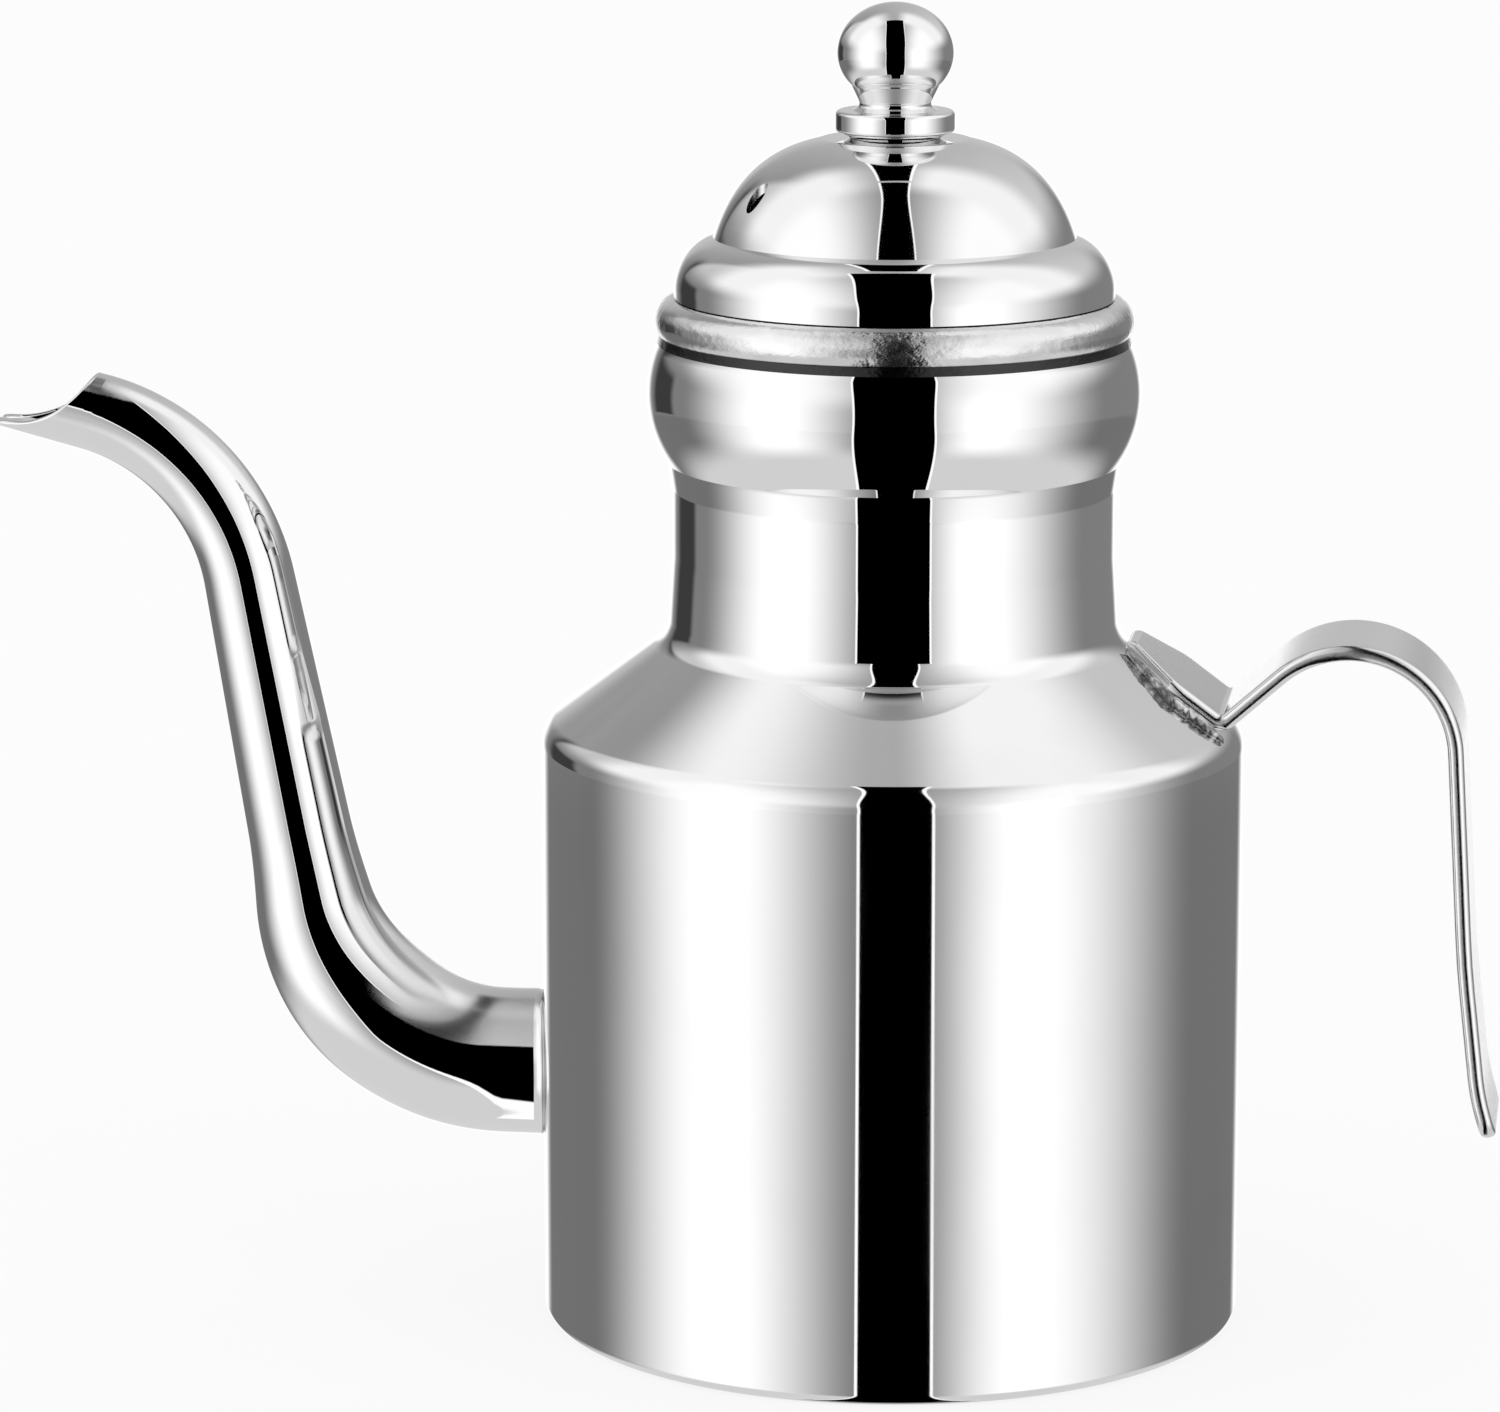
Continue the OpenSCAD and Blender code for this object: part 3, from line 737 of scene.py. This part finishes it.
def lip_run(turn, less):
    """How far along the tube its surface runs before the scoop of the beak cuts it"""
    def inside(s):
        x, _, z = tube_spot(s, turn, less)
        return math.hypot(x - scoop_x, z - scoop_z) < SCOOP_R

    uncut = SPOUT_LEN + 6.0
    cut = next((s for s in np.arange(SPOUT_LEN - LIP_SEARCH, SPOUT_LEN, LIP_SEARCH_STEP) if inside(s)), uncut)
    if cut < uncut:
        a, b = cut - LIP_SEARCH_STEP, cut
        for _ in range(12):
            a, b = (a, (a + b) / 2) if inside((a + b) / 2) else ((a + b) / 2, b)
        cut = b
    soft = -LIP_SOFTNESS * math.log(math.exp(-(cut - SPOUT_LEN) / LIP_SOFTNESS) + 1) + SPOUT_LEN
    return soft - LIP_BACK


def root_run(turn, less):
    """Where the tube's surface leaves the inside of the pot's wall"""
    r = tube_r(0) - less
    return math.sqrt((BODY_R - WALL) ** 2 - (r * math.sin(turn)) ** 2) + spout_path[0, 0]


def tube_rows(less):
    """Rows of the tube's outer or inner surface, from the root to the lip"""
    turns = [2 * math.pi * k / TUBE_COLUMNS for k in range(TUBE_COLUMNS)]
    starts = [root_run(t, less) for t in turns]
    stops = [lip_run(t, less) for t in turns]
    straight_to = max(starts) + TUBE_MARGIN
    beak_from = min(stops) - TUBE_MARGIN
    rows = []
    for f in np.linspace(0, 1, TUBE_ROOT_ROWS + 1)[:-1]:
        rows.append([tube_spot(a + (straight_to - a) * f, t, less) for a, t in zip(starts, turns)])
    middle = round((beak_from - straight_to) / TUBE_STEP)
    for s in np.linspace(straight_to, beak_from, middle + 1):
        rows.append([tube_spot(s, t, less) for t in turns])
    for f in np.linspace(0, 1, BEAK_ROWS + 1)[1:]:
        rows.append([tube_spot(beak_from + (b - beak_from) * f, t, less) for b, t in zip(stops, turns)])
    return rows


def spout_skin():
    """The tube's outside, its rounded lip and its inside, which is bright near the lip"""
    outside, inside = tube_rows(0), tube_rows(SPOUT_WALL)
    edge, inner_edge = np.array(outside[-1]), np.array(inside[-1])
    ahead = edge - np.array(outside[-2])
    ahead += inner_edge - np.array(inside[-2])
    half = (edge - inner_edge) / 2
    size = np.linalg.norm(half, axis=1, keepdims=True)
    ahead -= half * (ahead * half).sum(1, keepdims=True) / size ** 2
    ahead /= np.linalg.norm(ahead, axis=1, keepdims=True)
    ahead *= np.minimum(size, SPOUT_WALL / 2)
    lip = [(edge + inner_edge) / 2 + half * math.cos(q) + ahead * math.sin(q)
           for q in np.linspace(0, math.pi, LIP_ROWS)[1:-1]]
    skin = Skin()
    rows = outside + lip + inside[::-1]
    dull_rows = len(inside) - BRIGHT_INSIDE_ROWS
    finish = [OUTSIDE] * (len(rows) - dull_rows) + [INSIDE] * dull_rows
    skin.grid(np.array(rows)[:, ::-1], finish=finish)
    return skin


spout = spout_skin().make("spout_tube", [spout_mirror, satin], "pot", "polished_steel", "spout")
spout.visible_glossy = False


def root_weld_skin():
    """The ground fillet where the spout leaves the wall"""
    turns = 2 * math.pi * np.arange(TUBE_COLUMNS) / TUBE_COLUMNS

    def at(r, out):
        y = r * np.sin(turns)
        return np.stack([-np.sqrt(BODY_R ** 2 - y ** 2) - out, y, SPOUT_ROOT_Z + r * np.cos(turns)], axis=1)

    on_tube, on_wall = at(SPOUT_ROOT_R, ROOT_WELD), at(SPOUT_ROOT_R + ROOT_WELD, 0)
    crook, hidden = at(SPOUT_ROOT_R, 0), at(SPOUT_ROOT_R + 0.02, -0.3)
    rows = [on_tube * (1 - t) ** 2 + crook * 2 * t * (1 - t) + on_wall * t * t
            for t in np.linspace(0, 1, FILLET_ROWS)]
    rows.append(hidden)
    skin = Skin()
    skin.grid(np.array(rows)[:, ::-1])
    return skin


root_weld_skin().make("spout_root_fillet", [mirror], "pot", "polished_steel", "spout_weld")

# ---- Handle ----

down_slope = np.array([math.cos(SHOULDER_SLOPE), -math.sin(SHOULDER_SLOPE)])
off_slope = np.array([math.sin(SHOULDER_SLOPE), math.cos(SHOULDER_SLOPE)])
bend = np.array([BODY_R, SHOULDER_Z]) + off_slope * STRIP_T / 2 - down_slope * BEND_BACK
crest = np.array([BODY_R + CREST_OUT, bend[1] + (BODY_R + CREST_OUT - bend[0]) * math.tan(RISE_SLOPE)])
knee = (crest[0] + KNEE_OUT, KNEE_Z)
toe = (knee[0] + TOE_OUT, TOE_Z)
curl = (toe[0] + CURL_OUT, TOE_Z - CURL_H)
foot_top = bend - down_slope * (bend[0] - FOOT_TOP_X) / down_slope[0]
strip_path = divided(rounded([
    tuple(foot_top), (*bend, STRIP_T * 0.8), (*crest, CREST_R, UPPER_BEND_SHARE),
    (*knee, KNEE_R), (*toe, TOE_R), curl]), STRIP_STEP)


def foot_half(x):
    """Half the strip's width at the distance x from the pot's axis"""
    share = min(1, max(0, (x - FOOT_TOP_X) / FOOT_FLARE))
    return (FOOT_TOP_W + (STRIP_W - FOOT_TOP_W) * share) / 2


def strip_section(wide, thick, edge):
    """Outline of the strip across its length, from half its width and half its thickness"""
    edge = min(edge, thick * 0.98, wide * 0.9)
    spots = []
    for start, cy, cz in ((0, 1, 1), (1, -1, 1), (2, -1, -1), (3, 1, -1)):
        for q in np.linspace(start, start + 1, STRIP_CORNER_POINTS) * math.pi / 2:
            spots.append((cy * (wide - edge) + edge * math.cos(q), cz * (thick - edge) + edge * math.sin(q)))
        if start in (0, 2):
            y, z = spots[-1]
            spots += [(y * f, z) for f in (0.6, 0.2, -0.2, -0.6)]
    return spots


def strip_skin():
    """The strip swept along its path, with the corners of its end rounded"""
    path = np.array(strip_path)
    run = np.concatenate([[0], np.cumsum([np.linalg.norm(b - a) for a, b in zip(path, path[1:])])])
    total = run[-1]

    def at(s):
        return np.array([np.interp(s, run, path[:, i]) for i in (0, 1)])

    end_stops = total - STRIP_CORNER_R * (1 - np.cos(np.linspace(0, math.pi / 2, 14)))
    foot_stops = 1 - np.cos(np.linspace(0.2, math.pi / 2, 6))
    rows = []
    for s in sorted({*run, *end_stops, *foot_stops}):
        centre = at(s)
        side = left(unit(at(min(s + 0.05, total)) - at(max(s - 0.05, 0))))
        wide, thick = foot_half(centre[0]), STRIP_T / 2
        end = total - s
        if end < STRIP_CORNER_R:
            wide += math.sqrt(STRIP_CORNER_R ** 2 - (STRIP_CORNER_R - end) ** 2) - STRIP_CORNER_R
        near = min(end, s)
        if near < 1:
            thick *= max(0.05, math.sqrt(1 - (1 - near) ** 2))
        rows.append([[centre[0] + side[0] * z, y, centre[1] + side[1] * z]
                     for y, z in strip_section(wide, thick, STRIP_EDGE_R)])
    skin = Skin()
    numbers = skin.grid(np.array(rows)[:, ::-1], closed=False)
    skin.cap(numbers[0])
    skin.cap(numbers[-1][::-1])
    return skin


handle = strip_skin().make("handle_strip", [strip], "pot", "strip_steel", "handle")
handle.visible_glossy = False


def slope_z(x, y):
    """Height of the shoulder's slope"""
    return SHOULDER_Z + (BODY_R - math.hypot(x, y)) * math.tan(SHOULDER_SLOPE)


def bead_skin():
    """The beads along both edges of the foot, laid in overlapping ripples"""
    skin = Skin()
    start, stop = FOOT_TOP_X - 0.2, bend[0] + 0.3
    for side in (1, -1):
        rows = []
        for f in np.linspace(0, 1, BEAD_ROWS):
            x = start + (stop - start) * f
            s = (x - start) / down_slope[0]
            wave = noise.noise(Vector((s * 0.8, side * 3.1, 0.4)))
            edge = foot_half(x) - 0.3
            taper = min(1, 0.35 + 3 * f, 0.35 + 4 * (1 - f))
            row = []
            for k in range(BEAD_COLUMNS):
                q = math.pi * 2 * k / BEAD_COLUMNS
                phase = s / BEAD_PITCH + BEAD_WANDER * wave - BEAD_LEAN * math.sin(q)
                ripple = 0.5 + 0.5 * math.cos(2 * math.pi * (phase % 1) ** 0.7)
                swell = 1 + 0.1 * wave - 0.08 * ripple
                y = edge + 0.35 + (BEAD_W - 0.25) * 0.62 * swell * taper * math.cos(q)
                z = 0.45 + BEAD_H * 0.66 * swell * taper * math.sin(q)
                row.append([x, side * y, slope_z(x, y) + z])
            rows.append(row[::side])
        numbers = skin.grid(rows, closed=False)
        skin.cap(numbers[0])
        skin.cap(numbers[-1][::-1])
    return skin


bead_skin().make("handle_weld_beads", [weld], "pot", "weld_bead", "handle_welds")

# ---- Lid ----


def dome_point(q):
    r = DOME_R * math.cos(q) ** DOME_SIDE_POWER
    return np.array([r, ROUND_Z + DOME_H * math.sin(q) ** DOME_CROWN_POWER])


band_stop = math.acos((dome_point(DOME_FOOT_TURN)[0] + 0.4 - (BAND_R - BAND_ROUND_R)) / BAND_ROUND_R)
crown_turn = math.asin(((CROWN_Z - ROUND_Z) / DOME_H) ** (1 / DOME_CROWN_POWER))
lid_path = [np.array([BAND_R, BAND_Z])]
lid_path += arc((BAND_R - BAND_ROUND_R, ROUND_Z), BAND_ROUND_R, 0, band_stop)
dome_from = len(lid_path)
band_rows = sum(1 for p in lid_path if p[1] < BAND_SHINE_TOP_Z)
lid_path += [dome_point(q) for q in np.linspace(DOME_FOOT_TURN, crown_turn, DOME_ROWS)]
lid_path += [np.array([r, CROWN_Z]) for r in (4.0, SCREW_R + HOLE_SLACK)]
vent_centre = VENT_OUT * np.array([math.cos(VENT_TURN), math.sin(VENT_TURN)])


def vent_flat(p):
    return np.array([p[0], p[1]])


def vent_lift(q, outline, a, b):
    radii = [outline[i][0] for i in range(a, b + 1)]
    rows = list(range(a, b + 1))
    if radii[0] > radii[-1]:
        radii, rows = radii[::-1], rows[::-1]
    u = float(np.interp(np.linalg.norm(q), radii, rows))
    return face_spot(outline, a, b, u, math.atan2(q[1], q[0]))


def vent_edge(q):
    return vent_centre + VENT_R * unit(q - vent_centre)


dome_rows = [i for i in range(dome_from, len(lid_path)) if abs(lid_path[i][0] - VENT_OUT) < VENT_REACH]
vent_column = round(VENT_TURN / (2 * math.pi) * COLUMNS)
lid = pierced(lid_path, dome_rows[0], dome_rows[-1], vent_column - VENT_COLUMNS, vent_column + VENT_COLUMNS,
              vent_flat, vent_lift, vent_edge, band_rows)
lid.make("lid_shell", [polished, satin, mirror], "lid", "polished_steel", "lid_dome")

sleeve_r = ROLL_CENTRE_R - ROLL_R - SLEEVE_GAP
seat_r = BAND_R - WALL - 0.05
sleeve_path = divided(rounded([
    (sleeve_r, BAND_Z - SLEEVE_H), (sleeve_r, BAND_Z + 0.2, 1), (seat_r, BAND_Z + 0.6, 1),
    (seat_r, ROUND_Z + BAND_H)]), SLEEVE_STEP)
lathe(sheet(sleeve_path)).make("lid_inner_sleeve", [satin], "lid", "polished_steel", "lid_sleeve")

# ---- Knob ----

neck_turn = math.acos((KNOB_NECK_R + KNOB_NECK_FLARE) / BALL_R)
bore_r = SCREW_R + SCREW_SLACK
knob_outline = rounded([
    (bore_r, FLANGE_Z), (FLANGE_R, FLANGE_Z, 0.5), (FLANGE_R, KNOB_NECK_Z, 0.6),
    (KNOB_NECK_R + 1, KNOB_NECK_Z, 0.3), (KNOB_NECK_R, KNOB_NECK_Z + KNOB_NECK_H * 0.25, 0.8),
    (KNOB_NECK_R + KNOB_NECK_FLARE, BALL_Z - BALL_HALF_H * math.sin(neck_turn))])
knob_outline += [np.array([BALL_R * math.cos(q), BALL_Z + BALL_HALF_H * math.sin(q)])
                 for q in np.linspace(-neck_turn + 0.06, math.pi / 2, BALL_ROWS)]
knob_outline[-1][0] = 0
bore_top_z = FLANGE_Z + SCREW_GRIP + 1
knob_outline += [np.array([0, bore_top_z]), np.array([bore_r, bore_top_z])]
lathe(knob_outline).make("knob_ball", [mirror], "lid", "polished_steel", "knob")

hole_r = SCREW_R + HOLE_SLACK
spacer_outline = rounded([
    (hole_r, CROWN_Z), (SPACER_R - SPACER_TAPER, CROWN_Z, 0.15), (SPACER_R, FLANGE_Z, 0.15),
    (hole_r, FLANGE_Z)])
lathe(spacer_outline).make("knob_spacer_ring", [mirror], "lid", "polished_steel", "knob_spacer")

for node in ("knob_screw", "knob_washer"):
    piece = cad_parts[node]
    piece.data.materials.clear()
    piece.data.materials.append(satin)

# ---- Studio ----

CAMERA_TURN = math.radians(8)
CAMERA_RISE = math.radians(11.55)
CAMERA_FAR = 834.5
AIM_RIGHT = -18.3
AIM_Z = 79.7
LENS, SENSOR, CLIP_END = 156, 36, 100

right = Vector((math.cos(CAMERA_TURN), math.sin(CAMERA_TURN), 0))
back = Vector((math.sin(CAMERA_TURN) * math.cos(CAMERA_RISE), -math.cos(CAMERA_TURN) * math.cos(CAMERA_RISE),
               math.sin(CAMERA_RISE)))
aim = right * AIM_RIGHT + Vector((0, 0, AIM_Z))
lens = bpy.data.cameras.new("camera")
lens.lens, lens.sensor_width, lens.clip_end = LENS, SENSOR, CLIP_END
camera = bpy.data.objects.new("camera", lens)
camera.location = (aim + back * CAMERA_FAR) * MM
camera.rotation_euler = (-back).to_track_quat("-Z", "Y").to_euler()
bpy.context.scene.collection.objects.link(camera)
bpy.context.scene.camera = camera
bpy.context.scene.view_settings.view_transform = "Standard"

DEGREES = 180 / math.pi
BELT_LIGHT = 0.19
SIDE_LIGHT = 1.08
TABLE_LIGHT = 0.75
STAND_LIGHT = 0.05
FLAG_HALF_HAZY, FLAG_HALF_SHARP = 0.196, 0.312
FLAG_SHIFT = 0.016
FLAG_EDGE_W = 0.016
FLAG_EDGE_LIGHT = 1.2


def room(x, y, z):
    """How bright the side lights, the ceiling, the table and a dark stand look in a direction"""
    turn = x.maths("ARCTAN2", -y) * DEGREES
    rise = z.maths("ARCSINE") * DEGREES

    # The belt that the upright walls mirror: each light has a soft edge, and the far sides stay grey
    side_lights = (-turn).between(5, 56, 62, 118) + turn.between(2, 40, 44, 116)
    far_light = (0.35 + 0.65 * z.fading(-0.05, 0.08)) * abs(turn).smooth(155, 168)
    belt = BELT_LIGHT + 0.05 * z.smooth(-0.22, -0.19) + SIDE_LIGHT * side_lights + far_light

    # Above it a pale ceiling rises from grey over the camera to white at each side, and sinks again far behind
    front = 0.35 + 0.85 * abs(x).smooth(0.03, 0.7)
    middle = 0.48 + 0.6 * (-x).smooth(0.05, 0.42) + 0.6 * x.smooth(0, 0.26)
    far = 0.5 + 0.3 * x + 0.35 * (-x).smooth(0.5, 0.6)
    ceiling = front.toward(middle, y.smooth(-0.2, 0.09)).toward(far, y.smooth(0.3, 0.62))
    away = ceiling * z.smooth(-0.1, 0.0) + TABLE_LIGHT * z.fading(-0.1, 0.0)
    light = away.toward(belt, rise.between(-38, -22, 4, 24))

    # The dark stand is behind on the left, and draws the left outlines
    stand = (-turn).between(124, 130, 146, 156) * z.between(-0.2, -0.19, 0.25, 0.45)
    stand = stand * (1 - (-x).smooth(0.5, 0.56) * z.smooth(0.03, 0.12))
    return light.toward(STAND_LIGHT, stand)


def flag(x, y, z, sharp, again):
    """How much the black flag covers a direction, with its thin light edge and without. sharp is 1 for what a
    mirror finish sees and 0 for a hazy one, and again is 1 for a reflection seen in another."""
    pitch = z.maths("ARCTAN2", -y) * DEGREES

    # It narrows above and below, and mirror finishes see it wider than the faintly hazy ones do
    hazy_half = FLAG_HALF_HAZY - 0.1 * pitch.smooth(15, 85)
    sharp_half = FLAG_HALF_SHARP - 0.14 * pitch.smooth(25, 115) - 0.18 * (-pitch).smooth(12, 105)
    outside = abs(x + FLAG_SHIFT * sharp) - hazy_half.toward(sharp_half, sharp)

    # It hangs behind the camera and reaches overhead. Only hazy finishes see its far part, past a narrow gap,
    # and a reflection seen in another shows only its lower part.
    near_reach = y.fading(0.074, 0.08)
    far_reach = y.between(0.108, 0.114, 0.6, 0.75) * (1 - sharp)
    reach = (near_reach + far_reach) * pitch.smooth(-115, -100) * (1 - again * pitch.smooth(20, 40))
    with_edge = outside.fading(FLAG_EDGE_W - 0.002, FLAG_EDGE_W + 0.002) * reach
    return with_edge, outside.fading(-0.002, 0.002) * reach


def studio():
    """Two tall soft lights left and right of the camera with a black flag between them, under a pale ceiling"""
    world = bpy.data.worlds.new("studio")
    bpy.context.scene.world = world
    g = Graph(world)
    direction = g.add("TexCoord", output="Generated")
    ray = g.add("VectorRotate", {"rotation_type": "Z_AXIS"}, {"Vector": direction, "Angle": -CAMERA_TURN})
    x, y, z = g.parts(ray)
    path = {name: Value(g, socket) for name, socket in g.add("LightPath").socket.node.outputs.items()}

    again = path["Ray Depth"].maths("GREATER_THAN", 2.5)
    with_edge, black = flag(x, y, z, path["Is Singular Ray"], again)
    light = room(x, y, z).toward(FLAG_EDGE_LIGHT, with_edge) * (1 - black)

    # The camera and the matt floor see plain white
    plain = path["Is Camera Ray"] + path["Is Diffuse Ray"]
    shade = g.add("Mix", {"data_type": "FLOAT"}, {0: plain, 2: light, 3: 1.0})
    grey = g.add("CombineColor", inputs={0: shade, 1: shade, 2: shade})
    glow = g.add("Background", inputs={"Color": grey, "Strength": 1.0})
    g.add("OutputWorld", inputs={"Surface": glow})


studio()

FLOOR_HALF = 3000.0
FLOOR_SHADES = (0.86, 0.86, 0.86, 1), (0.9, 0.9, 0.9, 1)
FLOOR_GLOW = 0.83


def floor():
    """A pale matt plane, which glows for the camera alone so that it runs into the white behind it"""
    finish, g, place = blank_finish("pale_floor")
    color = g.blend(g.speckle(place, 30.0), *FLOOR_SHADES)
    matt = g.add("BsdfPrincipled", inputs={"Base Color": color, "Roughness": 0.8})
    glow = g.add("Emission", inputs={"Color": (1, 1, 1, 1), "Strength": 1.0})
    seen = g.add("LightPath", output="Is Camera Ray")
    g.finish(g.add("MixShader", inputs={0: seen * FLOOR_GLOW, 1: matt, 2: glow}))
    half = FLOOR_HALF * MM
    mesh = bpy.data.meshes.new("floor")
    corners = [(-half, -half, 0), (half, -half, 0), (half, half, 0), (-half, half, 0)]
    mesh.from_pydata(corners, [], [(0, 1, 2, 3)])
    mesh.materials.append(finish)
    plane = bpy.data.objects.new("floor", mesh)
    bpy.context.scene.collection.objects.link(plane)
    plane.visible_glossy = False


floor()
